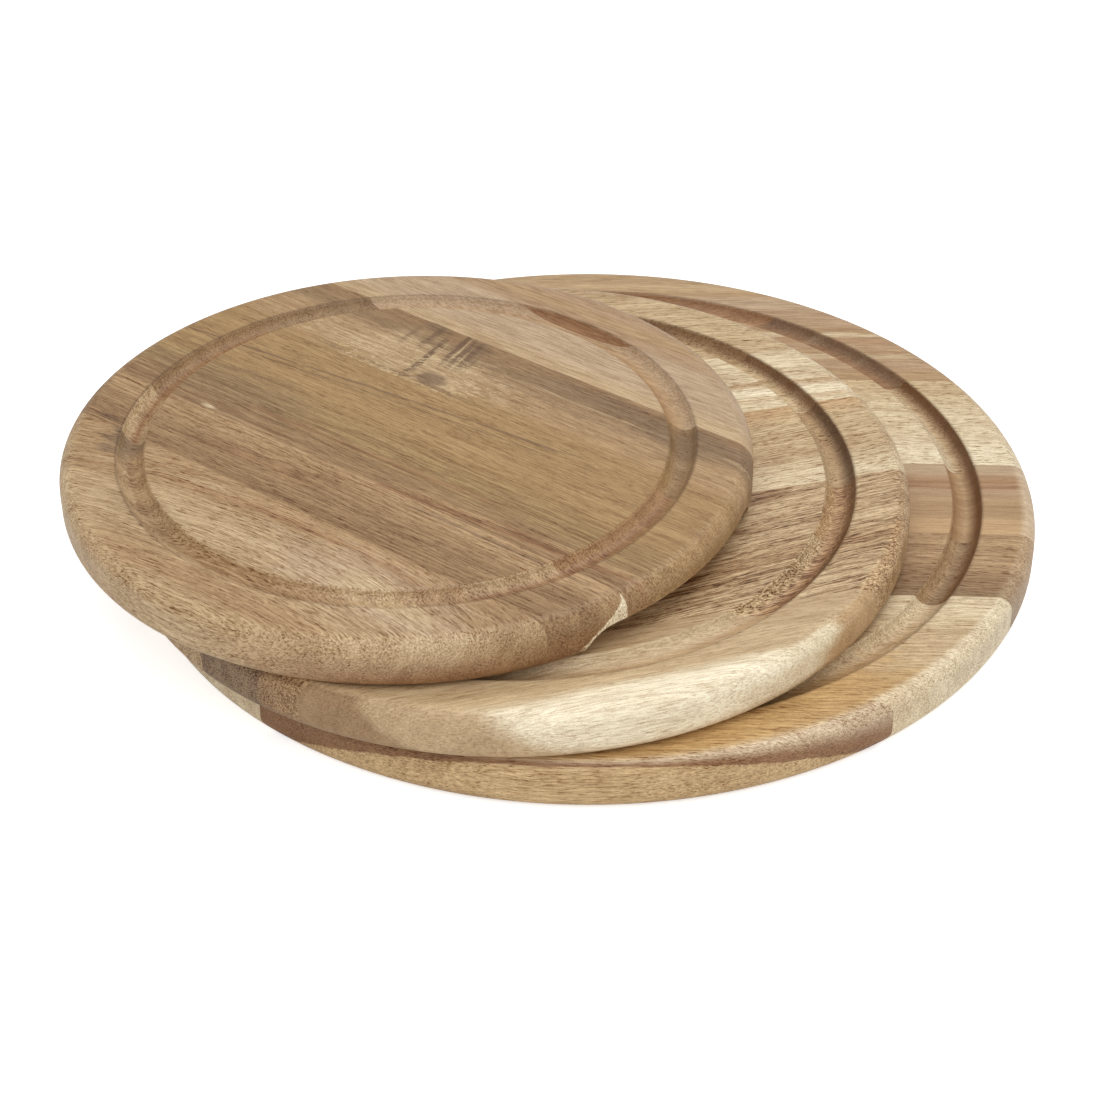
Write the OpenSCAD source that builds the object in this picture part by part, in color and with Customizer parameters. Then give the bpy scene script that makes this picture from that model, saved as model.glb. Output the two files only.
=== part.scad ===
// Stack of three round wooden serving boards for pizza, all of one design: a
// disc glued up from straight staves, with softened edges, a juice groove in
// its top and one finger recess under its rim.
// The origin is the centre of the large board's underside, +Z is up.

/* [Boards] */
// Diameter of the large board
large_d = 350; // [320:5:420]
// Diameter of the medium board
medium_d = 300; // [270:5:340]
// Diameter of the small board
small_d = 260; // [220:5:290]
// Thickness of each board
board_t = 20; // [16:1:30]
// Radius of the softened edges, above and below
edge_r = 6.4; // [2:0.2:7.6]

/* [Stack] */
// Place of the medium board's centre, to the right of the large one's
medium_x = -27.5; // [-40:0.1:40]
// Place of the medium board's centre, behind the large one's
medium_y = -23.3; // [-40:0.1:40]
// Place of the small board's centre, to the right of the large one's
small_x = -68; // [-75:0.1:40]
// Place of the small board's centre, behind the large one's
small_y = -28.6; // [-60:0.1:40]
// Direction of the large board's grain
large_grain_turn = -2.8; // [-90:0.2:90]
// Direction of the medium board's grain
medium_grain_turn = 15; // [-90:1:90]
// Direction of the small board's grain
small_grain_turn = -38.2; // [-90:0.2:90]

/* [Juice groove] */
// Width of the groove in the large and medium boards, between its lips
groove_w = 10.8; // [10:0.2:16]
// Depth of the groove in the large and medium boards
groove_depth = 4.4; // [2:0.1:5]
// Width of the groove in the small board, between its lips
small_groove_w = 9.8; // [9:0.2:16]
// Depth of the groove in the small board
small_groove_depth = 3.9; // [2:0.1:4.5]
// From the rim to the middle of the groove
groove_inset = 26.5; // [20:0.5:40]
// Width and depth of the chamfers that soften the groove's lips
lip = 0.5; // [0.2:0.1:1]

/* [Finger recess] */
// Radius of the round cutter that scoops the recess
recess_r = 14; // [12:0.5:20]
// How far the recess reaches in under the rim
recess_depth = 11; // [6:0.5:14]
// Height of the recess at the rim
recess_h = 10.5; // [7:0.5:12]
// Length of the recess along the rim, between its round ends
recess_len = 84; // [40:1:110]
// Where the recess lies round the large board
large_recess_turn = 180; // [0:1:360]
// Where the recess lies round the medium board
medium_recess_turn = 183; // [0:1:360]
// Where the recess lies round the small board
small_recess_turn = 324; // [0:1:360]

/* [Hidden] */

$fn = 96;
overrun = 2;
// The recess's round ends are cut this much finer than its run
recess_end_step = 0.1;

// Glue lines across the grain from the back rim to the front rim, as shares
// of the board's radius
large_seam_shares = [1, 0.76, 0.465, 0.1, -0.177, -0.412, -0.77, -1];
medium_seam_shares = [1, 0.683, 0.4, 0.114, -0.251, -0.467, -0.713, -1];
small_seam_shares = [1, 0.808, 0.551, 0.235, -0.242, -0.473, -1];

// Wood tone of each stave, from the back rim to the front rim
large_tones = ["#b08a66", "#a97c5d", "#c8ac80", "#a5755a", "#8f7459", "#c9aa7c", "#ad855b"];
medium_tones = ["#c2a377", "#c8aa7d", "#cbb083", "#a9845d", "#9c774f", "#8e6a48", "#dccaa0"];
small_tones = ["#ac8468", "#c0a080", "#957454", "#a5835c", "#8c6d52", "#b08a62"];

// Radius of the round cutter that leaves a groove of this width and depth
function groove_radius(width, depth) = (width * width / 4 + depth * depth) / (2 * depth);

// Finger recess: the cutter's centre, so that it leaves the underside
// recess_depth in from the rim and the rim recess_h above the underside
recess_chord = sqrt(recess_depth * recess_depth + recess_h * recess_h);
recess_reach = sqrt(recess_r * recess_r - recess_chord * recess_chord / 4);
recess_out = recess_reach * recess_h / recess_chord - recess_depth / 2;
recess_drop = recess_reach * recess_depth / recess_chord - recess_h / 2;

// Section of a juice groove, with the middle of its mouth at the origin
module groove_section(width, depth) {
    cutter_r = groove_radius(width, depth);
    translate([0, cutter_r - depth]) circle(cutter_r);
    mouth = width / 2 + lip;
    polygon([
        [-mouth - overrun, overrun], [-mouth + 2 * lip, -2 * lip],
        [mouth - 2 * lip, -2 * lip], [mouth + overrun, overrun]
    ]);
}

// Half section of a board, with its underside at zero height
module board_section(board_r, width, depth) {
    difference() {
        union() {
            square([board_r - edge_r, board_t]);
            translate([0, edge_r]) square([board_r, board_t - 2 * edge_r]);
            for (z = [edge_r, board_t - edge_r])
                translate([board_r - edge_r, z]) circle(edge_r);
        }
        translate([board_r - groove_inset, board_t]) groove_section(width, depth);
    }
}

// Scoop that the finger recess takes out of a board, in the direction of +X
module finger_scoop(board_r) {
    sweep = recess_len / board_r * 180 / PI;
    rotate([0, 0, -sweep / 2]) rotate_extrude(angle = sweep)
        translate([board_r + recess_out, -recess_drop]) circle(recess_r);
    for (turn = [-sweep / 2, sweep / 2]) rotate([0, 0, turn])
        translate([board_r + recess_out, 0, -recess_drop]) sphere(recess_r - recess_end_step);
}

// The strip of a board between two glue lines, with the grain along X
module strip(board_r, back_share, front_share) {
    back = back_share * board_r + (back_share == 1 ? overrun : 0);
    front = front_share * board_r - (front_share == -1 ? overrun : 0);
    translate([-board_r - overrun, front, -overrun])
        cube([2 * (board_r + overrun), back - front, board_t + 2 * overrun]);
}

// One stave of a board, cut by the glue lines before and after it
module stave(board_r, seam_shares, i, grain_turn, recess_turn, width, depth) {
    intersection() {
        difference() {
            rotate_extrude() board_section(board_r, width, depth);
            rotate([0, 0, recess_turn]) finger_scoop(board_r);
        }
        rotate([0, 0, grain_turn]) strip(board_r, seam_shares[i - 1], seam_shares[i]);
    }
}

// Large board, at the bottom of the stack
module large_stave(i) {
    color(large_tones[i - 1])
        stave(large_d / 2, large_seam_shares, i, large_grain_turn, large_recess_turn,
            groove_w, groove_depth);
}

// Medium board, lying on the large one
module medium_stave(i) {
    color(medium_tones[i - 1]) translate([medium_x, medium_y, board_t])
        stave(medium_d / 2, medium_seam_shares, i, medium_grain_turn, medium_recess_turn,
            groove_w, groove_depth);
}

// Small board, lying on the medium one
module small_stave(i) {
    color(small_tones[i - 1]) translate([small_x, small_y, 2 * board_t])
        stave(small_d / 2, small_seam_shares, i, small_grain_turn, small_recess_turn,
            small_groove_w, small_groove_depth);
}

for (i = [1 : len(large_tones)])
    large_stave(i);
for (i = [1 : len(medium_tones)])
    medium_stave(i);
for (i = [1 : len(small_tones)])
    small_stave(i);
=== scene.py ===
import math

import bmesh
import bpy
from bpy.props import FloatProperty, FloatVectorProperty, PointerProperty
from mathutils import Matrix, Vector

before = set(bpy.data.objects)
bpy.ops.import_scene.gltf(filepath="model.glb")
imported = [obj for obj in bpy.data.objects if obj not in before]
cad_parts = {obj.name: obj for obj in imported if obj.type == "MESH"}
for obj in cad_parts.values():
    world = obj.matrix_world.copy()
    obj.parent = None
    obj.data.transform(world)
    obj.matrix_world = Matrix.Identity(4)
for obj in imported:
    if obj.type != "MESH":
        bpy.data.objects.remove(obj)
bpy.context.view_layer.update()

bl_info = {
    "name": "Pizza Serving Boards",
    "version": (1, 0, 0),
    "blender": (4, 5, 0),
    "location": "View3D > Sidebar > Boards",
    "description": "Finishes a stack of three round edge-glued boards and sets their stage",
    "category": "Object",
}

# One millimetre in metres. Every length in the wood's materials is in millimetres.
MM = 0.001

# What all three boards share: thickness, radius of the softened edges, and from the rim to the groove's middle
BOARD_T = 20.0
EDGE_R = 6.4
GROOVE_INSET = 26.5


def tone(red, green, blue):
    """A screen colour, 0 to 255, as the linear colour that a shader takes."""
    def linear(v):
        v /= 255
        return v / 12.92 if v <= 0.04045 else ((v + 0.055) / 1.055) ** 2.4
    return (linear(red), linear(green), linear(blue))


# Wood tones, from the palest sapwood to the darkest figure
TONES = {
    "milk": tone(250, 235, 204), "ivory": tone(238, 221, 188), "cream": tone(224, 203, 166),
    "shell": tone(222, 198, 166), "straw": tone(207, 180, 139), "sand": tone(196, 167, 128),
    "peach": tone(200, 164, 120), "rose_cream": tone(190, 162, 130), "honey": tone(201, 163, 109),
    "rose": tone(184, 151, 117), "tan": tone(181, 147, 107), "russet": tone(176, 136, 97),
    "golden": tone(170, 136, 91), "olive": tone(163, 133, 89), "brown": tone(157, 124, 87),
    "walnut": tone(146, 117, 83), "red_brown": tone(148, 106, 70), "grey_brown": tone(134, 108, 80),
    "bark": tone(116, 93, 68), "plum": tone(112, 84, 62), "chestnut": tone(110, 72, 38), "umber": tone(84, 53, 28),
}


# Node trees

class Tree:
    """Adds nodes to a node tree. An input is given as a value or as the socket that feeds it."""

    def __init__(self, tree):
        self.tree = tree

    def feed(self, socket, value):
        if isinstance(value, bpy.types.NodeSocket):
            self.tree.links.new(value, socket)
        elif socket.type == "RGBA":
            socket.default_value = (*value, 1)
        else:
            socket.default_value = value

    def node(self, kind, settings=None, **inputs):
        node = self.tree.nodes.new(kind)
        for name, value in (settings or {}).items():
            setattr(node, name, value)
        for name, value in inputs.items():
            self.feed(node.inputs[name.replace("_", " ")], value)
        return node

    def in_order(self, kind, settings, values):
        """A node whose inputs are fed by their order, because they share a name."""
        node = self.node(kind, settings)
        for socket, value in zip(node.inputs, values):
            self.feed(socket, value)
        return node.outputs

    def math(self, operation, *values):
        return self.in_order("ShaderNodeMath", {"operation": operation}, values)[0]

    def add(self, a, b):
        return self.math("ADD", a, b)

    def sub(self, a, b):
        return self.math("SUBTRACT", a, b)

    def mul(self, a, b):
        return self.math("MULTIPLY", a, b)

    def swing(self, value, reach):
        """A 0 to 1 value made to swing from -reach to reach."""
        return self.mul(self.math("MULTIPLY_ADD", value, 2.0, -1.0), reach)

    def vector(self, operation, *values):
        outputs = self.in_order("ShaderNodeVectorMath", {"operation": operation}, values)
        return outputs["Value" if operation in ("DOT_PRODUCT", "LENGTH") else 0]

    def split(self, vector):
        return self.node("ShaderNodeSeparateXYZ", Vector=vector).outputs

    def join(self, x, y, z):
        return self.node("ShaderNodeCombineXYZ", X=x, Y=y, Z=z).outputs[0]

    def from_centre(self, x, y):
        return self.vector("LENGTH", self.join(x, y, 0.0))

    def noise(self, point, cell, seed=0.0, detail=2.0, roughness=0.55):
        """Noise from 0 to 1 with cells of that size in mm along x, y and z."""
        scaled = self.vector("DIVIDE", point, cell)
        moved = self.vector("ADD", scaled, self.join(seed, 0.0, seed))
        return self.node("ShaderNodeTexNoise", Vector=moved, Scale=1.0, Detail=detail,
                         Roughness=roughness).outputs["Fac"]

    def spread(self, value, low, high, to_low=0.0, to_high=1.0, smooth=True):
        """The value made to run from to_low to to_high while it goes from low to high."""
        settings = {"interpolation_type": "SMOOTHSTEP"} if smooth else None
        return self.node("ShaderNodeMapRange", settings, Value=value, From_Min=low, From_Max=high,
                         To_Min=to_low, To_Max=to_high).outputs[0]

    def fade(self, value, low, high):
        """1 below low, 0 above high."""
        return self.spread(value, low, high, 1.0, 0.0)

    def mix(self, factor, a, b, blend="MIX"):
        node = self.node("ShaderNodeMix", {"data_type": "RGBA", "blend_type": blend})
        sockets = {s.identifier: s for s in node.inputs}
        self.feed(sockets["Factor_Float"], factor)
        self.feed(sockets["A_Color"], a)
        self.feed(sockets["B_Color"], b)
        return {s.identifier: s for s in node.outputs}["Result_Color"]

    def ramp(self, value, stops):
        node = self.node("ShaderNodeValToRGB", Fac=value)
        while len(node.color_ramp.elements) < len(stops):
            node.color_ramp.elements.new(0.5)
        for element, (place, colour) in zip(node.color_ramp.elements, stops):
            element.position = place
            element.color = (*colour, 1)
        return node.outputs[0]

    def placed(self, name, **inputs):
        """A node group placed in this tree."""
        return self.node("ShaderNodeGroup", {"node_tree": bpy.data.node_groups[name]}, **inputs).outputs


def bare_tree(owner):
    """The emptied node tree of a material or a world."""
    owner.use_nodes = True
    owner.node_tree.nodes.clear()
    return Tree(owner.node_tree)


NUMBER, VECTOR, COLOUR = "NodeSocketFloat", "NodeSocketVector", "NodeSocketColor"


def group(name, inputs, outputs):
    """A new node group: returns its tree helper, its given inputs and a function that feeds an output."""
    tree = bpy.data.node_groups.new(name, "ShaderNodeTree")
    for label, kind in inputs.items():
        tree.interface.new_socket(name=label, in_out="INPUT", socket_type=kind)
    for label, kind in outputs.items():
        tree.interface.new_socket(name=label, in_out="OUTPUT", socket_type=kind)
    t = Tree(tree)
    given = tree.nodes.new("NodeGroupInput").outputs
    out = tree.nodes.new("NodeGroupOutput")
    return t, given, lambda label, value: t.feed(out.inputs[label], value)


# How the grain bends: the cells of its noises, in mm along the fibres, across them and up, the close sway's part of
# the wander, and the part of each shift across that also goes up
LONG_SWAY, CLOSE_SWAY, RIPPLES = (90, 33, 33), (22, 9, 9), (7, 5, 5)
CLOSE_PART = 0.25
UP_PART = 0.6


def build_grain_run():
    """Position along the fibres in mm: x along, y across, z up, bent, tilted and wandering as the tree grew."""
    t, given, give = group("Grain run", {
        "Position": VECTOR, "Tilt": NUMBER, "Arch": NUMBER, "Arch centre": NUMBER, "Lean": NUMBER,
        "Wander": NUMBER, "Ripple": NUMBER, "Seed": NUMBER}, {"Fibre": VECTOR})
    place = given["Position"]
    seed = given["Seed"]
    x, y, z = t.split(place)
    off = t.sub(x, given["Arch centre"])
    y = t.add(y, t.mul(t.mul(off, off), given["Arch"]))
    y = t.sub(y, t.mul(x, given["Tilt"]))
    y = t.add(y, t.mul(t.sub(BOARD_T, z), given["Lean"]))
    long = t.swing(t.noise(place, LONG_SWAY, seed, detail=1.0), given["Wander"])
    close = t.swing(t.noise(place, CLOSE_SWAY, seed), t.mul(given["Wander"], CLOSE_PART))
    short = t.swing(t.noise(place, RIPPLES, seed), given["Ripple"])
    shift = t.add(t.add(long, close), short)
    give("Fibre", t.join(x, t.add(y, shift), t.math("MULTIPLY_ADD", shift, UP_PART, z)))


# The figure's cells, in mm along the fibres, across them and up. A band is higher than wide, and a line as high.
BAND_LENGTH = 240.0
BAND_HEIGHT_IN_WIDTHS = 3.0
LINE_LENGTH_IN_WIDTHS = 60.0
FINE_CELL, CROWD_CELL, MOTTLE_CELL, SPECKLE_CELL = (12, 0.52, 0.52), (45, 6, 6), (16, 6, 6), (0.5, 0.5, 0.5)
FLECK_LENGTH_IN_PORES = 0.8
FLECK_SEED = 31.0

# The level of each noise at which its mask starts, and the one at which it is full
BAND_LEVELS, LINE_LEVELS, FINE_LEVELS = (0.32, 0.68), (0.38, 0.64), (0.38, 0.62)
CROWD_LEVELS, FLECK_LEVELS, MOTTLE_LEVELS = (0.3, 0.7), (0.60, 0.68), (0.3, 0.7)
# Pores start at a level that falls from sparse to dense places and with crowding, and are full this much above it
PORE_SPARSE, PORE_DENSE, PORE_CROWDING, PORE_RISE = 0.65, 0.57, 0.06, 0.07


def build_grain():
    """The figure along the fibres: growth bands, dark lines, fine lines, pores, pale flecks, speckle and mottle."""
    t, given, give = group("Grain", {
        "Fibre": VECTOR, "Position": VECTOR, "Band width": NUMBER, "Line width": NUMBER, "Crowding": NUMBER,
        "Pore width": NUMBER, "Pore length": NUMBER, "Seed": NUMBER},
        {"Band": NUMBER, "Lines": NUMBER, "Fine": NUMBER, "Pores": NUMBER, "Flecks": NUMBER, "Speckle": NUMBER,
         "Mottle": NUMBER})
    fibre = given["Fibre"]
    seed = given["Seed"]
    width = given["Band width"]
    band = t.noise(fibre, t.join(BAND_LENGTH, width, t.mul(width, BAND_HEIGHT_IN_WIDTHS)), seed, detail=3.0,
                   roughness=0.6)
    give("Band", t.spread(band, *BAND_LEVELS))
    width = given["Line width"]
    line = t.noise(fibre, t.join(t.mul(width, LINE_LENGTH_IN_WIDTHS), width, width), seed, detail=3.0,
                   roughness=0.62)
    give("Lines", t.spread(line, *LINE_LEVELS))
    fine = t.noise(fibre, FINE_CELL, seed, detail=1.0, roughness=0.6)
    give("Fine", t.spread(fine, *FINE_LEVELS))
    crowd = t.noise(fibre, CROWD_CELL, seed, detail=3.0, roughness=0.6)
    limit = t.sub(t.spread(crowd, *CROWD_LEVELS, PORE_SPARSE, PORE_DENSE), t.mul(given["Crowding"], PORE_CROWDING))
    thick, long = given["Pore width"], given["Pore length"]
    pore = t.noise(fibre, t.join(long, thick, thick), seed, detail=1.0, roughness=0.5)
    give("Pores", t.spread(pore, limit, t.add(limit, PORE_RISE)))
    fleck = t.noise(fibre, t.join(t.mul(long, FLECK_LENGTH_IN_PORES), thick, thick), t.add(seed, FLECK_SEED),
                    detail=1.0, roughness=0.4)
    give("Flecks", t.spread(fleck, *FLECK_LEVELS))
    give("Speckle", t.noise(given["Position"], SPECKLE_CELL, seed, detail=1.0, roughness=0.6))
    give("Mottle", t.spread(t.noise(fibre, MOTTLE_CELL, seed, detail=3.0), *MOTTLE_LEVELS))


# Where the masks round a board fade, in mm: the rim's from inside the softened edge to the flat face, the groove's
# at its lips, the dark line of painted shade at its outer lip to both sides, and the painted shade of the low rim
# inwards, upwards, and along the grain
RIM_FADE = (EDGE_R - 3.0, EDGE_R + 0.6)
GROOVE_FADE = 0.5
LIP_SHADE_FADE = (0.1, 0.9)
LOW_SHADE_INWARDS, LOW_SHADE_UPWARDS, LOW_SHADE_ALONG = (EDGE_R - 2.0, EDGE_R + 2.0), (4.5, 16.5), (5.0, 80.0)


def build_round():
    """Masks that follow a board's round: the softened rim, its lower part towards the right ends of the fibres, where
    shade is painted, the groove, its outer lip, where a line of shade is painted, and the way across the groove,
    outwards."""
    t, given, give = group("Round", {"Position": VECTOR, "Radius": NUMBER, "Half width": NUMBER},
                           {"Rim": NUMBER, "Low": NUMBER, "Groove": NUMBER, "Outer lip": NUMBER, "Across": NUMBER})
    half = given["Half width"]
    x, y, z = t.split(given["Position"])
    inset = t.sub(given["Radius"], t.from_centre(x, y))
    give("Rim", t.fade(inset, *RIM_FADE))
    # The rim's lower part, towards the right ends of the fibres, where painted shade is laid
    low = t.mul(t.fade(inset, *LOW_SHADE_INWARDS), t.fade(z, *LOW_SHADE_UPWARDS))
    give("Low", t.mul(low, t.spread(x, *LOW_SHADE_ALONG)))
    off = t.sub(GROOVE_INSET, inset)
    give("Groove", t.fade(t.math("ABSOLUTE", off), t.sub(half, GROOVE_FADE), half))
    # The groove's outer lip, where a dark line of painted shade is laid
    give("Outer lip", t.fade(t.math("ABSOLUTE", t.sub(off, half)), *LIP_SHADE_FADE))
    give("Across", t.spread(off, t.mul(half, -1.0), half, smooth=False))


# A streak: the cell in mm and the levels of the noise that makes it ragged, how thin and how thick that makes it, how
# its side fades in half widths, and how far in mm each of its ends fades to both sides
STREAK_CELL, STREAK_LEVELS = (16, 1.3, 1.3), (0.25, 0.75)
STREAK_THICKNESS = (0.1, 1.9)
STREAK_SIDE = (0.4, 1.4)
STREAK_END = 8.0


def build_streak():
    """A mask for one streak that runs along the grain, with ragged ends and edges."""
    t, given, give = group("Streak", {
        "Fibre": VECTOR, "Across": NUMBER, "Half width": NUMBER, "Slope": NUMBER, "From": NUMBER, "To": NUMBER,
        "Strength": NUMBER, "Seed": NUMBER}, {"Mask": NUMBER})
    fibre = given["Fibre"]
    x, y, _ = t.split(fibre)
    rough = t.noise(fibre, STREAK_CELL, given["Seed"], detail=3.0, roughness=0.65)
    off = t.math("ABSOLUTE", t.sub(t.sub(y, given["Across"]), t.mul(x, given["Slope"])))
    wide = t.mul(given["Half width"], t.spread(rough, *STREAK_LEVELS, *STREAK_THICKNESS))
    inside = t.fade(t.math("DIVIDE", off, wide), *STREAK_SIDE)
    start = t.spread(x, t.sub(given["From"], STREAK_END), t.add(given["From"], STREAK_END))
    end = t.fade(x, t.sub(given["To"], STREAK_END), t.add(given["To"], STREAK_END))
    give("Mask", t.mul(t.mul(t.mul(inside, start), end), given["Strength"]))


# A patch: its ragged edge's cell in mm, and how rough that makes it and where it fades, as parts of its reach
PATCH_CELL = (14, 4, 9)
PATCH_ROUGH = 0.9
PATCH_FADE = (0.5, 1.2)


def build_patch():
    """A soft-edged blotch."""
    t, given, give = group("Patch", {
        "Position": VECTOR, "Centre": VECTOR, "Reach": VECTOR, "Strength": NUMBER, "Seed": NUMBER}, {"Mask": NUMBER})
    off = t.vector("DIVIDE", t.vector("SUBTRACT", given["Position"], given["Centre"]), given["Reach"])
    rough = t.noise(given["Position"], PATCH_CELL, given["Seed"], detail=3.0, roughness=0.6)
    far = t.add(t.vector("LENGTH", off), t.swing(rough, PATCH_ROUGH))
    give("Mask", t.mul(t.fade(far, *PATCH_FADE), given["Strength"]))


# Curls: the cell and the reach in mm of what winds them, their own cell, and the levels of their noise
WIND_CELL, WIND_X, WIND_Y = (6, 4, 4), 12.0, 9.0
CURL_CELL, CURL_LEVELS = (3.0, 1.0, 1.0), (0.50, 0.60)


def build_curls():
    """Small pale curls, as in wood from a fork of the tree."""
    t, given, give = group("Curls", {"Position": VECTOR, "Seed": NUMBER}, {"Mask": NUMBER})
    wind = t.noise(given["Position"], WIND_CELL, given["Seed"])
    place = t.vector("ADD", given["Position"], t.join(t.mul(wind, WIND_X), t.mul(wind, WIND_Y), 0.0))
    give("Mask", t.spread(t.noise(place, CURL_CELL, given["Seed"], roughness=0.6), *CURL_LEVELS))


# The middles of the bands and lines, where they leave the tone as it is
BAND_MIDDLE, LINE_MIDDLE = 0.5, 0.4
# How much each darkens the tone: the mottle, end grain, the speckle on side and end grain, and pores on end grain
MOTTLE_DEPTH, END_DEPTH, SPECKLE_DEPTHS, END_PORES = 0.04, 0.04, (0.26, 0.5), 0.6
# What the darkening takes from red, green and blue, which warms the tone, and the least that it leaves
DARKENING, DARKEST = (-0.80, -1.0, -1.20), (0.12, 0.1, 0.08)
# How much fine lines and pores roughen the finish, and the height of fine lines, in pore depths
FINE_ROUGHENS, PORE_ROUGHENS, FINE_HEIGHT = 0.06, 0.25, 0.35


def build_oiled_wood():
    """Puts the figure on the tone: colour, roughness and height of an oiled satin surface."""
    t, given, give = group("Oiled wood", {
        "Colour": COLOUR, "Band": NUMBER, "Band depth": NUMBER, "Lines": NUMBER, "Line depth": NUMBER,
        "Fine": NUMBER, "Fine depth": NUMBER, "Pores": NUMBER, "Pore depth": NUMBER, "Flecks": NUMBER,
        "Fleck depth": NUMBER, "Speckle": NUMBER, "Mottle": NUMBER, "End grain": NUMBER, "Roughness": NUMBER},
        {"Colour": COLOUR, "Roughness": NUMBER, "Height": NUMBER})
    dark = t.mul(t.sub(given["Band"], BAND_MIDDLE), given["Band depth"])
    dark = t.add(dark, t.mul(t.sub(given["Lines"], LINE_MIDDLE), given["Line depth"]))
    dark = t.sub(dark, t.swing(given["Fine"], given["Fine depth"]))
    dark = t.sub(dark, t.swing(given["Mottle"], MOTTLE_DEPTH))
    dark = t.sub(dark, t.mul(given["Flecks"], given["Fleck depth"]))
    end = given["End grain"]
    dark = t.add(dark, t.mul(end, END_DEPTH))
    dark = t.sub(dark, t.swing(given["Speckle"], t.spread(end, 0.0, 1.0, *SPECKLE_DEPTHS)))
    pore = t.mul(t.mul(given["Pores"], given["Pore depth"]), t.spread(end, 0.0, 1.0, 1.0, END_PORES))
    dark = t.add(dark, pore)
    shade = t.vector("MULTIPLY_ADD", t.join(dark, dark, dark), DARKENING, (1, 1, 1))
    shade = t.vector("MAXIMUM", shade, DARKEST)
    give("Colour", t.mix(1.0, given["Colour"], shade, "MULTIPLY"))
    roughening = t.add(t.swing(given["Fine"], FINE_ROUGHENS), t.mul(pore, PORE_ROUGHENS))
    give("Roughness", t.add(given["Roughness"], roughening))
    give("Height", t.sub(t.mul(given["Fine"], FINE_HEIGHT), given["Pores"]))


def build_groups():
    for build in (build_grain_run, build_grain, build_round, build_streak, build_patch, build_curls, build_oiled_wood):
        build()


# The boards: centre in mm, direction of the grain in degrees, and in mm radius and half the groove's width with lips
BOARDS = {
    "large": {"centre": (0, 0, 0), "turn": -2.8, "radius": 175.0, "groove": 5.9},
    "medium": {"centre": (-27.5, -23.3, 20), "turn": 15, "radius": 150.0, "groove": 5.9},
    "small": {"centre": (-68, -28.6, 40), "turn": -38.2, "radius": 130.0, "groove": 5.4},
}
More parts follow.
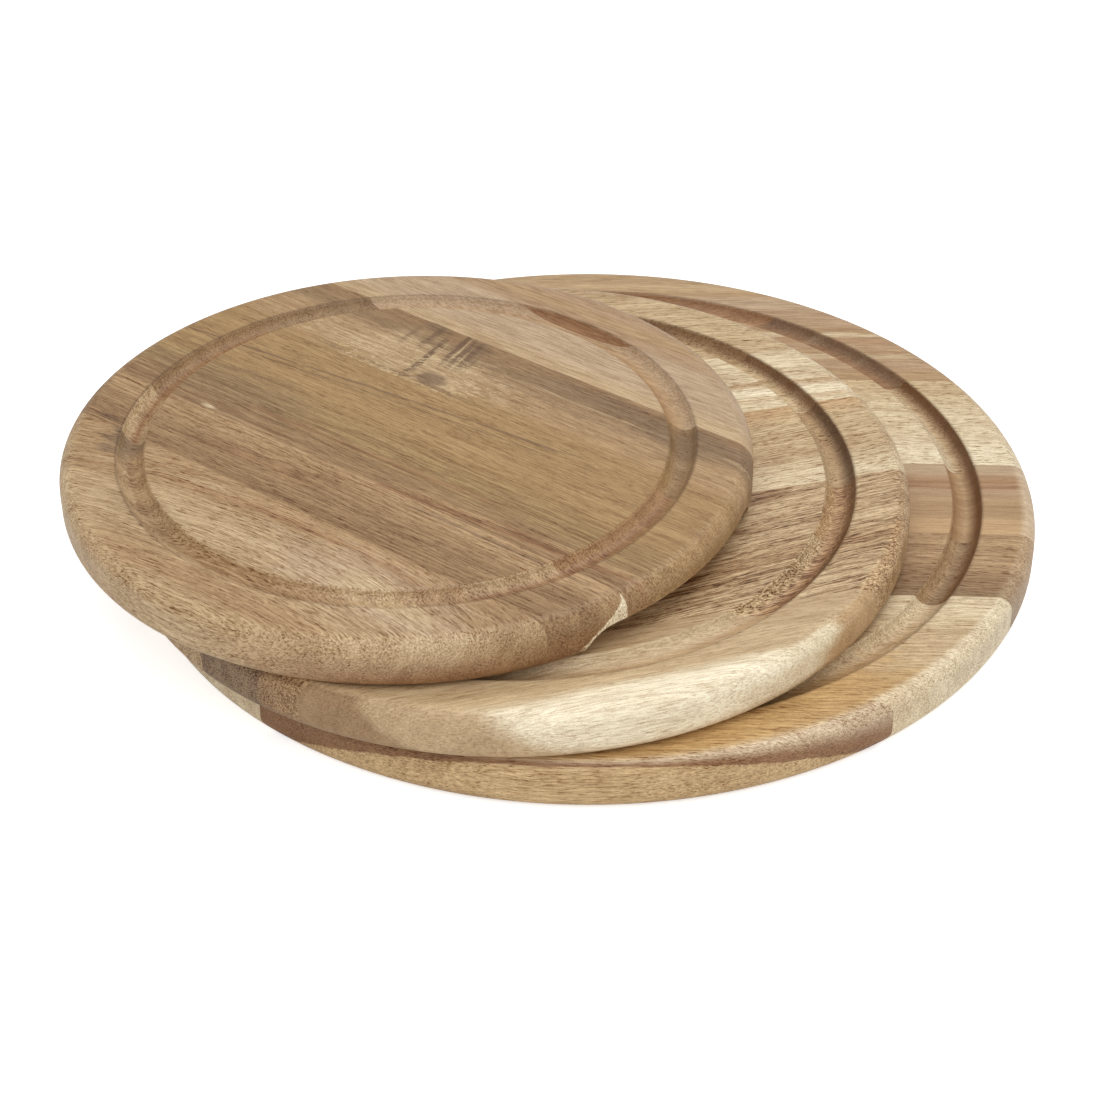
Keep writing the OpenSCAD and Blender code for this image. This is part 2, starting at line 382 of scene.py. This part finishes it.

# Each stave: its glue lines, in mm across the grain from the board's centre, its tones from the back one to the
# front one, how its grain runs, and how strong its marks are.
# rim is the tone and strength on its rim, low the same for painted shade on the rim's lower part towards the right
# ends of the fibres, warmed as by light reflected from the board below, and groove the groove's three tones from the
# inner lip to the outer one, and their strength, which lay painted shade and light across the routed wood's own tone.
# A streak is tone, across, half width, slope, from, to, strength. A feather is the same, but runs across the grain.
# A patch is tone, x, y, reach in x, reach in y, strength. The patches of over lie on the groove and the rim too.
STAVES = {
    "large_stave_1": dict(
        seams=(175, 133), tones=("tan", "sand", "tan", "rose_cream", "rose"), band=0.3, band_width=7.0, lines=0.12,
        pores=0.1, groove=("russet", "russet", "red_brown", 0.85)),
    "large_stave_2": dict(
        seams=(133, 81.4), tones=("rose", "tan", "rose", "tan", "rose", "tan"), band=0.25, band_width=6.0,
        lines=0.12, pores=0.15, groove=("red_brown", "red_brown", "plum", 0.8),
        streaks=[("cream", 118.0, 1.8, 0.0, 60.0, 150.0, 0.6), ("cream", 101.0, 2.0, 0.0, 80.0, 160.0, 0.5),
                 ("russet", 113.0, 2.2, 0.0, 40.0, 140.0, 0.5)]),
    "large_stave_3": dict(
        seams=(81.4, 17.5), tones=("straw", "cream", "cream", "ivory"), pores=0.55, crowding=0.7, lines=0.12,
        band=0.12, groove=("ivory", "sand", "chestnut", 0.97)),
    "large_stave_4": dict(
        seams=(17.5, -31), tones=("rose_cream", "russet", "rose", "tan", "tan", "peach"), band=0.25, band_width=3.0,
        lines=0.15, pores=0.06, fine=0.07, groove=("russet", "tan", "chestnut", 0.97), rim=("shell", 0.7),
        streaks=[("red_brown", 1.0, 0.9, 0.0, 60.0, 175.0, 0.7), ("red_brown", 4.5, 0.5, 0.0, 60.0, 175.0, 0.4)]),
    "large_stave_5": dict(
        seams=(-31, -72.1), tones=("tan", "tan", "brown", "walnut"), crowding=0.9, lines=0.35, tilt=-0.04,
        line_width=0.8, groove=("tan", "walnut", "chestnut", 0.9), rim=("shell", 0.3)),
    "large_stave_6": dict(
        seams=(-72.1, -134.8), tones=("cream", "straw", "straw", "honey"), pores=0.38, crowding=0.7, lines=0.17,
        groove=("cream", "tan", "grey_brown", 0.55), rim=("ivory", 0.75),
        patches=[("honey", 60.0, -118.0, 60.0, 22.0, 0.8)]),
    "large_stave_7": dict(
        seams=(-134.8, -175), tones=("honey", "honey"), pores=0.45, crowding=0.8, flecks=0.25,
        rim=("straw", 0.5)),
    "medium_stave_1": dict(
        seams=(150, 102.5), tones=("sand", "straw", "sand"), crowding=0.7, tilt=-0.2, lines=0.2,
        line_width=0.8, groove=("sand", "tan", "chestnut", 0.75)),
    "medium_stave_2": dict(
        seams=(102.5, 60), tones=("straw", "straw"), pores=0.55, crowding=0.8, tilt=-0.2, line_width=0.8,
        groove=("straw", "tan", "chestnut", 0.75)),
    "medium_stave_3": dict(
        seams=(60, 17.1), tones=("cream", "ivory", "cream", "cream"), crowding=0.8, tilt=-0.12, line_width=0.8,
        groove=("cream", "straw", "chestnut", 0.92),
        streaks=[("peach", 49.0, 2.2, 0.0, 60.0, 150.0, 0.7), ("peach", 38.0, 1.5, 0.0, 60.0, 150.0, 0.5)]),
    "medium_stave_4": dict(
        seams=(17.1, -37.7), tones=("peach", "straw", "straw", "sand", "cream"), pores=0.6, crowding=0.9,
        line_width=0.8, tilt=0.03, ripple=0.5, groove=("sand", "tan", "umber", 0.9)),
    "medium_stave_5": dict(
        seams=(-37.7, -70), tones=("sand", "sand"), pores=0.6, crowding=1.0, lines=0.65, band=0.3, ripple=0.5,
        fine=0.26, tilt=0.1, line_width=0.55, band_width=4.0, groove=("peach", "russet", "chestnut", 0.92),
        rim=("tan", 0.5), patches=[("red_brown", 84.0, -41.0, 14.0, 6.0, 0.6)]),
    "medium_stave_6": dict(
        seams=(-70, -107), tones=("sand", "tan", "sand"), pores=0.6, crowding=1.0, lines=0.8, band=0.35, ripple=0.6,
        fine=0.26, tilt=0.1, line_width=0.6, band_width=4.0, rim=("peach", 0.65), end=0.6,
        groove=("straw", "russet", "chestnut", 0.96)),
    "medium_stave_7": dict(
        seams=(-107, -150), tones=("sand", "straw", "straw", "ivory"), pores=0.25, crowding=0.4, lines=0.15, fine=0.12,
        line_width=0.6, flecks=0.1, ripple=0.4, groove=("cream", "tan", "straw", 0.7)),
    "small_stave_1": dict(
        seams=(130, 105), tones=("rose", "rose", "tan", "rose"), pores=0.1, lines=0.12, fine=0.18, flecks=0.05,
        groove=("tan", "red_brown", "red_brown", 0.9)),
    "small_stave_2": dict(
        seams=(105, 71.6), tones=("rose_cream", "rose_cream", "rose_cream", "sand"), pores=0.1, lines=0.08, fine=0.18,
        band=0.14, flecks=0.05, groove=("russet", "tan", "rose_cream", 0.85),
        streaks=[("tan", 84.0, 0.6, 0.05, 96.0, 120.0, 0.6)]),
    "small_stave_3": dict(
        seams=(71.6, 30.6), tones=("brown", "walnut", "tan", "tan", "golden"), pores=0.3, lines=0.2,
        groove=("golden", "walnut", "walnut", 0.75),
        patches=[("tan", -92.0, 44.0, 30.0, 16.0, 0.5), ("sand", -38.0, 46.0, 46.0, 14.0, 0.75),
                 ("bark", -43.0, 69.0, 6.0, 4.0, 0.5), ("bark", -20.0, 66.0, 7.0, 6.0, 0.45),
                 ("bark", -20.0, 54.0, 6.0, 7.0, 0.45)],
        streaks=[("grey_brown", 65.0, 5.0, 0.0, 10.0, 135.0, 0.6), ("sand", 57.5, 0.7, 0.015, 10.0, 125.0, 0.5),
                 ("grey_brown", 52.0, 2.5, 0.0, -5.0, 70.0, 0.35), ("grey_brown", 33.5, 0.8, 0.0, -75.0, 0.0, 0.5)],
        feathers=[("bark", -46.0, 1.0, -0.05, 52.0, 66.0, 0.45), ("plum", -37.5, 1.3, -0.05, 54.0, 72.0, 0.7),
                  ("plum", -24.0, 1.2, -0.167, 38.0, 64.0, 0.8), ("plum", -16.5, 1.2, -0.167, 50.0, 76.0, 0.85),
                  ("plum", -12.4, 1.1, -0.167, 50.0, 72.0, 0.65), ("plum", -8.8, 1.4, -0.167, 52.0, 72.0, 0.6),
                  ("plum", -5.0, 0.5, -0.167, 50.0, 60.0, 0.6), ("bark", -31.0, 1.2, -0.03, 33.0, 50.0, 0.7),
                  ("straw", -14.5, 0.4, -0.167, 52.0, 70.0, 0.7), ("straw", -10.6, 0.4, -0.167, 48.0, 60.0, 0.7),
                  ("straw", -21.6, 0.6, -0.167, 44.0, 62.0, 0.5)],
        # The first patch of over darkens the groove at the board's right end: painted shade.
        over=[("grey_brown", 84.0, 60.0, 20.0, 12.0, 0.5), ("grey_brown", -19.5, 37.0, 7.5, 5.5, 0.85)]),
    "small_stave_4": dict(
        seams=(30.6, -31.5), tones=("golden", "golden", "golden", "olive", "brown"), pores=0.3, lines=0.1,
        lines_front=0.5, flecks=0.2, groove=("russet", "red_brown", "brown", 0.85), rim=("tan", 0.4),
        low=("red_brown", 0.3), over=[("brown", -103.0, -12.0, 8.0, 14.0, 0.35)],
        patches=[("grey_brown", -80.0, -14.0, 48.0, 16.0, 0.35), ("cream", -75.0, -29.5, 4.0, 1.2, 0.8)],
        streaks=[("plum", 21.8, 0.6, 0.10, -125.0, 60.0, 0.6), ("plum", 18.0, 0.4, 0.09, -100.0, 50.0, 0.45),
                 ("red_brown", -32.9, 1.2, 0.0714, 10.0, 130.0, 0.8), ("peach", -30.0, 1.2, 0.0714, 20.0, 120.0, 0.5),
                 ("red_brown", -17.5, 1.8, 0.03, -60.0, 60.0, 0.5)]),
    "small_stave_5": dict(
        seams=(-31.5, -61.5), tones=("tan", "brown", "brown"), pores=0.45, crowding=0.7, lines=0.45,
        groove=("sand", "red_brown", "straw", 0.85), rim=("brown", 0.4), low=("red_brown", 0.6),
        patches=[("plum", -100.0, -58.0, 7.0, 2.0, 0.7)],
        streaks=[("red_brown", -46.0, 2.2, 0.0, -60.0, 0.0, 0.4), ("plum", -35.0, 1.0, 0.0, 30.0, 110.0, 0.5)]),
    "small_stave_6": dict(
        seams=(-61.5, -130), tones=("tan", "sand", "sand", "tan", "tan"), pores=0.52, crowding=0.8,
        fine=0.18, flecks=0.25, band=0.25, arch=1.5, arch_centre=22.0, groove=("tan", "brown", "sand", 0.85),
        rim=("straw", 0.4), low=("red_brown", 0.9), lean=0.4, end=0.7,
        # The first patch of over darkens the groove on the left: painted shade.
        over=[("grey_brown", -84.0, -62.0, 11.0, 14.0, 0.85), ("straw", 62.0, -83.0, 26.0, 9.0, 0.6),
              ("brown", 108.0, -68.0, 16.0, 12.0, 0.45), ("walnut", -45.0, -95.0, 22.0, 8.0, 0.35),
              ("straw", 5.0, -127.0, 34.0, 8.0, 0.5)],
        patches=[("rose_cream", 55.0, -82.0, 50.0, 18.0, 0.7), ("brown", -35.0, -110.0, 16.0, 5.0, 0.4)],
        streaks=[("russet", -67.0, 2.0, 0.0, -50.0, 65.0, 0.5), ("sand", -64.0, 1.4, 0.0, -110.0, -25.0, 0.6)]),
}


# What a stave has where its entry above says nothing
PLAIN = {
    "band": 0.2, "band_width": 5.0, "line_width": 0.85, "lines": 0.25, "lines_front": None, "fine": 0.16,
    "pores": 0.5, "crowding": 0.5, "flecks": 0.15, "end": 1.0, "tilt": 0.0, "arch": 0.0, "arch_centre": 0.0,
    "lean": 0.0, "wander": 2.0, "ripple": 0.3, "rim": None, "low": None, "groove": None, "streaks": (),
    "feathers": (), "patches": (), "over": ()}

# Steps between the seeds of the staves, of a stave's patches, and of its patches that lie over the groove too
STAVE_SEEDS, PATCH_SEEDS, OVER_SEEDS = 3.7, 2.3, 1.9
# A patch's height above the underside and its reach upwards, so that it goes through the board
PATCH_HEIGHT, PATCH_THROUGH = 10, 1000
# The area of the curls round the feathers: x, y, reach in x, reach in y, strength
CURLED = (-34, 43, 54, 15, 0.8)
# The places of a groove's three tones on the way across it, which lay painted shade and light on the routed wood
GROOVE_TONE_AND_SHADE_PLACES = (0.16, 0.5, 0.84)
# How strongly the dark line of painted shade along the groove's outer lip is laid
LIP_SHADE_STRENGTH = 0.35
# How squarely a face cuts the fibres, from where it is end grain to where it is fully so
END_GRAIN_LEVELS = (0.3, 1.0)
BUMP_STRENGTH = 0.3
SPECULAR_LEVEL = 0.4


def lay_patches(t, position, colour, tones, patches, seed, step):
    for i, (paint, x, y, reach_x, reach_y, strength) in enumerate(patches):
        mask = t.placed("Patch", Position=position, Centre=(x, y, PATCH_HEIGHT),
                        Reach=(reach_x, reach_y, PATCH_THROUGH), Strength=strength, Seed=seed + step * i)["Mask"]
        colour = t.mix(mask, colour, getattr(tones, paint))
    return colour


def lay_streaks(t, fibre, colour, tones, streaks, seed):
    for i, (paint, across, half, slope, start, end, strength) in enumerate(streaks):
        mask = t.placed("Streak", Fibre=fibre, Across=across, Half_width=half, Slope=slope, From=start, To=end,
                        Strength=strength, Seed=seed + i)["Mask"]
        colour = t.mix(mask, colour, getattr(tones, paint))
    return colour


def lay_feathers(t, position, colour, tones, feathers, seed):
    """Crotch figure: ribs across the grain, and pale curls round them."""
    x, y, z = t.split(position)
    colour = lay_streaks(t, t.join(y, x, z), colour, tones, feathers, seed)
    curls = t.placed("Curls", Position=position, Seed=seed)["Mask"]
    x, y, reach_x, reach_y, strength = CURLED
    area = t.placed("Patch", Position=position, Centre=(x, y, PATCH_HEIGHT), Reach=(reach_x, reach_y, PATCH_THROUGH),
                    Strength=strength, Seed=seed)["Mask"]
    return t.mix(t.mul(curls, area), colour, tones.straw)


def stave_tones(t, position, share, fibre, stave, board, tones, seed):
    """The stave's tones without its grain: its own ones, then what is laid on them, painted shade and light among it.
    """
    names = stave["tones"]
    colour = t.ramp(share, [((i + 0.5) / len(names), getattr(tones, n)) for i, n in enumerate(names)])
    colour = lay_patches(t, position, colour, tones, stave["patches"], seed, PATCH_SEEDS)
    colour = lay_streaks(t, fibre, colour, tones, stave["streaks"], seed)
    if stave["feathers"]:
        colour = lay_feathers(t, position, colour, tones, stave["feathers"], seed)

    edge = t.placed("Round", Position=position, Radius=board["radius"], Half_width=board["groove"])
    # The rim's own tone, and painted shade on the rim's lower part
    for part in ("rim", "low"):
        if stave[part]:
            paint, strength = stave[part]
            colour = t.mix(t.mul(edge[part.capitalize()], strength), colour, getattr(tones, paint))
    # The groove's tones: the routed wood's own tone, with painted shade and light across the channel
    if stave["groove"]:
        *groove_tones_and_shade, strength = stave["groove"]
        groove_tone_and_shade = t.ramp(edge["Across"], [(place, getattr(tones, n)) for place, n in zip(GROOVE_TONE_AND_SHADE_PLACES, groove_tones_and_shade)])
        colour = t.mix(t.mul(edge["Groove"], strength), colour, groove_tone_and_shade)
    colour = lay_patches(t, position, colour, tones, stave["over"], seed, OVER_SEEDS)
    # A dark line of painted shade along the groove's outer lip
    return t.mix(t.mul(edge["Outer lip"], LIP_SHADE_STRENGTH), colour, tones.umber)


def stave_material(name, board, number, settings):
    """The wood of one stave, in mm from its board's centre: x along the grain, y across it to the back."""
    stave = {**PLAIN, **STAVES[name]}
    tones, grain = settings.tones, settings.grain
    material = bpy.data.materials.new(name.replace("_", " "))
    t = bare_tree(material)
    place = t.node("ShaderNodeTexCoord").outputs
    turn = math.radians(board["turn"])
    position = t.node("ShaderNodeMapping", {"vector_type": "TEXTURE"}, Vector=place["Object"],
                      Location=[v * MM for v in board["centre"]], Rotation=(0, 0, turn), Scale=(MM, MM, MM)).outputs[0]
    seed = STAVE_SEEDS * number
    fibre = t.placed("Grain run", Position=position, Tilt=stave["tilt"], Arch=stave["arch"] * MM,
                     Arch_centre=stave["arch_centre"], Lean=stave["lean"], Wander=stave["wander"],
                     Ripple=stave["ripple"], Seed=seed)["Fibre"]
    back, front = stave["seams"]
    share = t.spread(t.split(fibre)[1], float(back), float(front), smooth=False)
    colour = stave_tones(t, position, share, fibre, stave, board, tones, seed)
    if name in RIM_FIGURES:
        colour = RIM_FIGURES[name](t, position, colour, tones)

    figure = t.placed("Grain", Fibre=fibre, Position=position, Band_width=stave["band_width"],
                      Line_width=stave["line_width"], Crowding=stave["crowding"], Pore_width=grain.pore_width / MM,
                      Pore_length=grain.pore_length / MM, Seed=seed)
    lines = stave["lines"]
    if stave["lines_front"] is not None:
        lines = t.spread(share, 0.0, 1.0, lines, stave["lines_front"])
    along = t.vector("DOT_PRODUCT", place["Normal"], (math.cos(turn), math.sin(turn), 0))
    end_grain = t.spread(t.math("ABSOLUTE", along), *END_GRAIN_LEVELS, 0.0, stave["end"])
    wood = t.placed("Oiled wood", Colour=colour, Band=figure["Band"], Band_depth=stave["band"], Lines=figure["Lines"],
                    Line_depth=lines, Fine=figure["Fine"], Fine_depth=stave["fine"], Pores=figure["Pores"],
                    Pore_depth=stave["pores"], Flecks=figure["Flecks"], Fleck_depth=stave["flecks"],
                    Speckle=figure["Speckle"], Mottle=figure["Mottle"], End_grain=end_grain,
                    Roughness=grain.roughness)
    bump = t.node("ShaderNodeBump", Strength=BUMP_STRENGTH, Distance=grain.relief, Height=wood["Height"])
    shader = t.node("ShaderNodeBsdfPrincipled", Base_Color=wood["Colour"], Roughness=wood["Roughness"],
                    Specular_IOR_Level=SPECULAR_LEVEL, Normal=bump.outputs[0])
    t.node("ShaderNodeOutputMaterial", Surface=shader.outputs[0])
    return material


# Figures that single rims have, in mm. A named pair is where something starts to fade in or out, and where it ends.

def on_rim(t, position, which, depth):
    """A mask for a board's rim, from that depth below its upper face down."""
    x, y, z = t.split(position)
    start = BOARDS[which]["radius"] - EDGE_R
    top = BOARD_T - depth
    around = t.spread(t.from_centre(x, y), start - 0.6, start + 0.6)
    return t.mul(around, t.fade(z, top - 0.6, top + 0.3))


def sapwood_wedge(t, position, colour, tones):
    """Small board: a cream wedge of sapwood on the rim, against the glue line, that widens downwards."""
    top, widening, glue_line, right_end = 18.8, 1.27, -31.5, (119.0, 121.0)
    x, y, z = t.split(position)
    limit = t.math("MULTIPLY_ADD", t.sub(top, z), -widening, glue_line)
    rough = t.swing(t.noise(position, (2, 2, 2), seed=3.0), reach=1.2)
    mask = t.mul(t.spread(t.sub(t.add(y, rough), limit), -0.3, 0.5), t.spread(x, *right_end))
    return t.mix(mask, colour, tones.ivory)


def layered_rim(t, position, colour, tones):
    """Medium board: the front rim cuts through leaning growth layers, from brown through tan to the palest ones."""
    lean, milk_turn, brown_strength, right_side = 0.667, 0.06, 0.9, (-10.0, 30.0)
    milk_end, tan_end, brown_end = (-141.0, -134.0), (-128.0, -115.0), (-123.0, -117.0)
    x, y, z = t.split(position)
    rough = t.swing(t.noise(position, (16, 5, 5), seed=3.0, detail=3.0, roughness=0.6), reach=3.0)
    layer = t.add(t.add(y, t.mul(t.sub(BOARD_T, z), lean)), rough)
    rim = on_rim(t, position, "medium", 0.6)
    right = t.spread(x, *right_side)
    brown = t.mix(right, tones.brown, tones.peach)
    pale = t.mix(right, tones.sand, tones.ivory)
    tan = t.mix(t.spread(layer, *tan_end), pale, t.mix(right, tones.straw, tones.cream))
    turned = t.sub(layer, t.mul(x, milk_turn))
    colour = t.mix(t.spread(turned, *milk_end), tones.milk, t.mix(rim, colour, tan))
    return t.mix(t.mul(t.spread(layer, *brown_end), t.mul(rim, brown_strength)), colour, brown)


def brown_rim_and_overhang_shade(t, position, colour, tones):
    """Medium board: the rim left of the front is grey-brown, then brown: partly the wood's tone, partly painted
    shade under the small board's overhang.
    """
    strength, left_side, brown_end = 0.9, (-60.0, -40.0), (-96.0, -93.0)
    x, y, _ = t.split(position)
    mask = t.mul(t.fade(x, *left_side), on_rim(t, position, "medium", 1.2))
    return t.mix(t.mul(mask, strength), colour, t.mix(t.spread(y, *brown_end), tones.brown, tones.grey_brown))


def red_layer(t, position, colour, tones):
    """Large board: a leaning red-brown growth layer that the front rim cuts from its upper edge down to both sides."""
    lean, middle_depth, strength, left_side = 0.513, 90.0, 0.95, (-90.0, -30.0)
    x, y, z = t.split(position)
    rough = t.swing(t.noise(position, (22, 6, 3), seed=5.0, detail=3.0, roughness=0.65), reach=1.6)
    depth = t.sub(BOARD_T, z)
    limit = t.add(t.math("MULTIPLY_ADD", y, lean, middle_depth), rough)
    share = t.add(t.math("DIVIDE", depth, limit), t.spread(x, *left_side, 0.8, 0.0))
    mask = t.mul(on_rim(t, position, "large", 0.3), t.fade(t.sub(depth, limit), -0.2, 0.6))
    red = t.mix(t.spread(share, 0.0, 0.75), tones.shell, tones.red_brown)
    return t.mix(t.mul(mask, strength), colour, red)


RIM_FIGURES = {"small_stave_5": sapwood_wedge, "medium_stave_6": brown_rim_and_overhang_shade, "medium_stave_7": layered_rim,
               "large_stave_7": red_layer}


def finish_board(which, settings):
    if "Oiled wood" not in bpy.data.node_groups:
        build_groups()
    for number, name in enumerate(STAVES):
        if name.startswith(which):
            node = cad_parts[name]
            node.data.materials.clear()
            node.data.materials.append(stave_material(name, BOARDS[which], number, settings))


# What a user would change

def tone_property(name, colour):
    words = name.replace("_", " ")
    return FloatVectorProperty(name=words.capitalize(), description=f"The {words} tone in the wood", subtype="COLOR",
                               size=3, min=0, max=1, default=colour)


class WoodTones(bpy.types.PropertyGroup):
    """The tones that the staves are made of"""
    __annotations__ = {name: tone_property(name, colour) for name, colour in TONES.items()}


class WoodGrain(bpy.types.PropertyGroup):
    """The size of the pores and the finish of the surface"""
    pore_width: FloatProperty(name="Pore width", description="Width of one cell of the pore pattern", unit="LENGTH",
                              subtype="DISTANCE", default=0.00037, min=0.0001, max=0.002, precision=5)
    pore_length: FloatProperty(name="Pore length", description="Length of one cell of the pore pattern",
                               unit="LENGTH", subtype="DISTANCE", default=0.0042, min=0.001, max=0.03, precision=4)
    relief: FloatProperty(name="Relief", description="Depth of the open pores", unit="LENGTH", subtype="DISTANCE",
                          default=0.0002, min=0, max=0.001, precision=5)
    roughness: FloatProperty(name="Roughness", description="Roughness of the oiled surface", subtype="FACTOR",
                             default=0.44, min=0, max=1)


class StageLight(bpy.types.PropertyGroup):
    """The lamps, the surrounding light and the floor"""
    key_power: FloatProperty(name="Key", description="Power of the lamp behind on the right", unit="POWER",
                             default=7, min=0, max=100)
    fill_power: FloatProperty(name="Fill", description="Power of the lamp in front", unit="POWER",
                              default=14, min=0, max=100)
    key_size: FloatProperty(name="Key size", description="Width of the lamp behind on the right", unit="LENGTH",
                            subtype="DISTANCE", default=1.0, min=0.1, max=3)
    surround: FloatProperty(name="Surround", description="Strength of the white surroundings", subtype="FACTOR",
                            default=0.48, min=0, max=1)
    floor: FloatVectorProperty(name="Floor", description="Colour of the floor", subtype="COLOR", size=3, min=0, max=1,
                               default=(0.95, 0.95, 0.95))


class BoardSettings(bpy.types.PropertyGroup):
    """All settings of the serving boards"""
    tones: PointerProperty(name="Tones", description="The wood's tones", type=WoodTones)
    grain: PointerProperty(name="Grain", description="Pores and finish", type=WoodGrain)
    light: PointerProperty(name="Light", description="Lamps and floor", type=StageLight)


class BOARDS_OT_large(bpy.types.Operator):
    """Finish the large board's staves"""
    bl_idname = "boards.large"
    bl_label = "Large board"

    def execute(self, context):
        finish_board("large", context.scene.serving_boards)
        return {"FINISHED"}


class BOARDS_OT_medium(bpy.types.Operator):
    """Finish the medium board's staves"""
    bl_idname = "boards.medium"
    bl_label = "Medium board"

    def execute(self, context):
        finish_board("medium", context.scene.serving_boards)
        return {"FINISHED"}


class BOARDS_OT_small(bpy.types.Operator):
    """Finish the small board's staves"""
    bl_idname = "boards.small"
    bl_label = "Small board"

    def execute(self, context):
        finish_board("small", context.scene.serving_boards)
        return {"FINISHED"}


# The stage

# Focal length and sensor in mm, angles in degrees, distance from the target in mm, clipping in metres
CAMERA = {"lens": 82.198, "sensor": 36, "elevation": 34.896, "roll": -0.5038, "distance": 986.83,
          "target": (-14.79, -17.97, 0), "clip": (0.05, 50)}
# The lamps' common aim, in metres, and for each one its direction from there in degrees, round and up, and its
# distance in metres
LAMP_AIM = (-0.02, -0.02, 0.03)
LAMPS = {"key": (50, 62, 1.6), "fill": (-95, 58, 1.8)}
FILL_SIZE = 1.6
# Half the floor's width in metres, and how much brighter than lit the camera sees it, so that it comes out white
FLOOR_HALF = 6.0
FLOOR_GLOW = 0.6


def set_camera(scene):
    elevation, roll = math.radians(CAMERA["elevation"]), math.radians(CAMERA["roll"])
    right = Vector((1, 0, 0))
    up = Vector((0, math.sin(elevation), math.cos(elevation)))
    back = -Vector((0, math.cos(elevation), -math.sin(elevation)))
    x = right * math.cos(roll) + up * math.sin(roll)
    y = up * math.cos(roll) - right * math.sin(roll)
    data = bpy.data.cameras.new("camera")
    data.lens = CAMERA["lens"]
    data.sensor_width = CAMERA["sensor"]
    data.clip_start, data.clip_end = CAMERA["clip"]
    camera = bpy.data.objects.new("camera", data)
    scene.collection.objects.link(camera)
    place = Matrix((x, y, back)).transposed().to_4x4()
    place.translation = Vector(CAMERA["target"]) * MM + back * CAMERA["distance"] * MM
    camera.matrix_world = place
    scene.camera = camera


def add_lamp(scene, name, size, power):
    """A square lamp that looks at the stack."""
    azimuth, elevation, distance = LAMPS[name]
    azimuth, elevation = math.radians(azimuth), math.radians(elevation)
    level = math.cos(elevation)
    away = Vector((level * math.cos(azimuth), level * math.sin(azimuth), math.sin(elevation)))
    data = bpy.data.lights.new(name, "AREA")
    data.size = size
    data.energy = power
    lamp = bpy.data.objects.new(name, data)
    scene.collection.objects.link(lamp)
    lamp.location = Vector(LAMP_AIM) + away * distance
    lamp.rotation_euler = away.to_track_quat("Z", "Y").to_euler()


def add_floor(scene, colour):
    mesh = bpy.data.meshes.new("floor")
    shape = bmesh.new()
    bmesh.ops.create_grid(shape, x_segments=1, y_segments=1, size=FLOOR_HALF)
    shape.to_mesh(mesh)
    shape.free()
    floor = bpy.data.objects.new("floor", mesh)
    scene.collection.objects.link(floor)
    material = bpy.data.materials.new("pale floor")
    t = bare_tree(material)
    plain = t.node("ShaderNodeBsdfDiffuse", Color=colour)
    seen = t.node("ShaderNodeLightPath").outputs["Is Camera Ray"]
    glow = t.node("ShaderNodeEmission", Color=(1, 1, 1), Strength=t.mul(seen, FLOOR_GLOW))
    both = t.in_order("ShaderNodeAddShader", None, (plain.outputs[0], glow.outputs[0]))
    t.node("ShaderNodeOutputMaterial", Surface=both[0])
    mesh.materials.append(material)
    return floor


def set_surroundings(scene, strength):
    """White surroundings that light the boards at that strength and that the camera sees at full strength."""
    world = bpy.data.worlds.new("studio")
    scene.world = world
    t = bare_tree(world)
    seen = t.node("ShaderNodeLightPath").outputs["Is Camera Ray"]
    strength = t.math("MULTIPLY_ADD", seen, 1 - strength, strength)
    sky = t.node("ShaderNodeBackground", Color=(1, 1, 1), Strength=strength)
    t.node("ShaderNodeOutputWorld", Surface=sky.outputs[0])


class BOARDS_OT_stage(bpy.types.Operator):
    """Set the floor, the light and the camera"""
    bl_idname = "boards.stage"
    bl_label = "Stage"

    def execute(self, context):
        scene = context.scene
        light = scene.serving_boards.light
        floor = add_floor(scene, light.floor)
        set_surroundings(scene, light.surround)
        add_lamp(scene, "key", light.key_size, light.key_power)
        add_lamp(scene, "fill", FILL_SIZE, light.fill_power)
        set_camera(scene)
        scene.view_settings.view_transform = "Standard"
        return {"FINISHED"}


class BOARDS_PT_panel(bpy.types.Panel):
    """The boards and their stage"""
    bl_idname = "BOARDS_PT_panel"
    bl_label = "Serving boards"
    bl_space_type = "VIEW_3D"
    bl_region_type = "UI"
    bl_category = "Boards"

    def draw(self, context):
        settings = context.scene.serving_boards
        for part in (settings.grain, settings.tones, settings.light):
            box = self.layout.box()
            for name in part.__annotations__:
                box.prop(part, name)
        for step in STEPS:
            self.layout.operator(step)


STEPS = ("boards.large", "boards.medium", "boards.small", "boards.stage")
CLASSES = (WoodTones, WoodGrain, StageLight, BoardSettings, BOARDS_OT_large, BOARDS_OT_medium, BOARDS_OT_small,
           BOARDS_OT_stage, BOARDS_PT_panel)


def register():
    for c in CLASSES:
        bpy.utils.register_class(c)
    bpy.types.Scene.serving_boards = PointerProperty(type=BoardSettings)


def unregister():
    del bpy.types.Scene.serving_boards
    for c in reversed(CLASSES):
        bpy.utils.unregister_class(c)


def main():
    register()
    for step in STEPS:
        area, action = step.split(".")
        getattr(getattr(bpy.ops, area), action)()


if __name__ == "__main__":
    main()
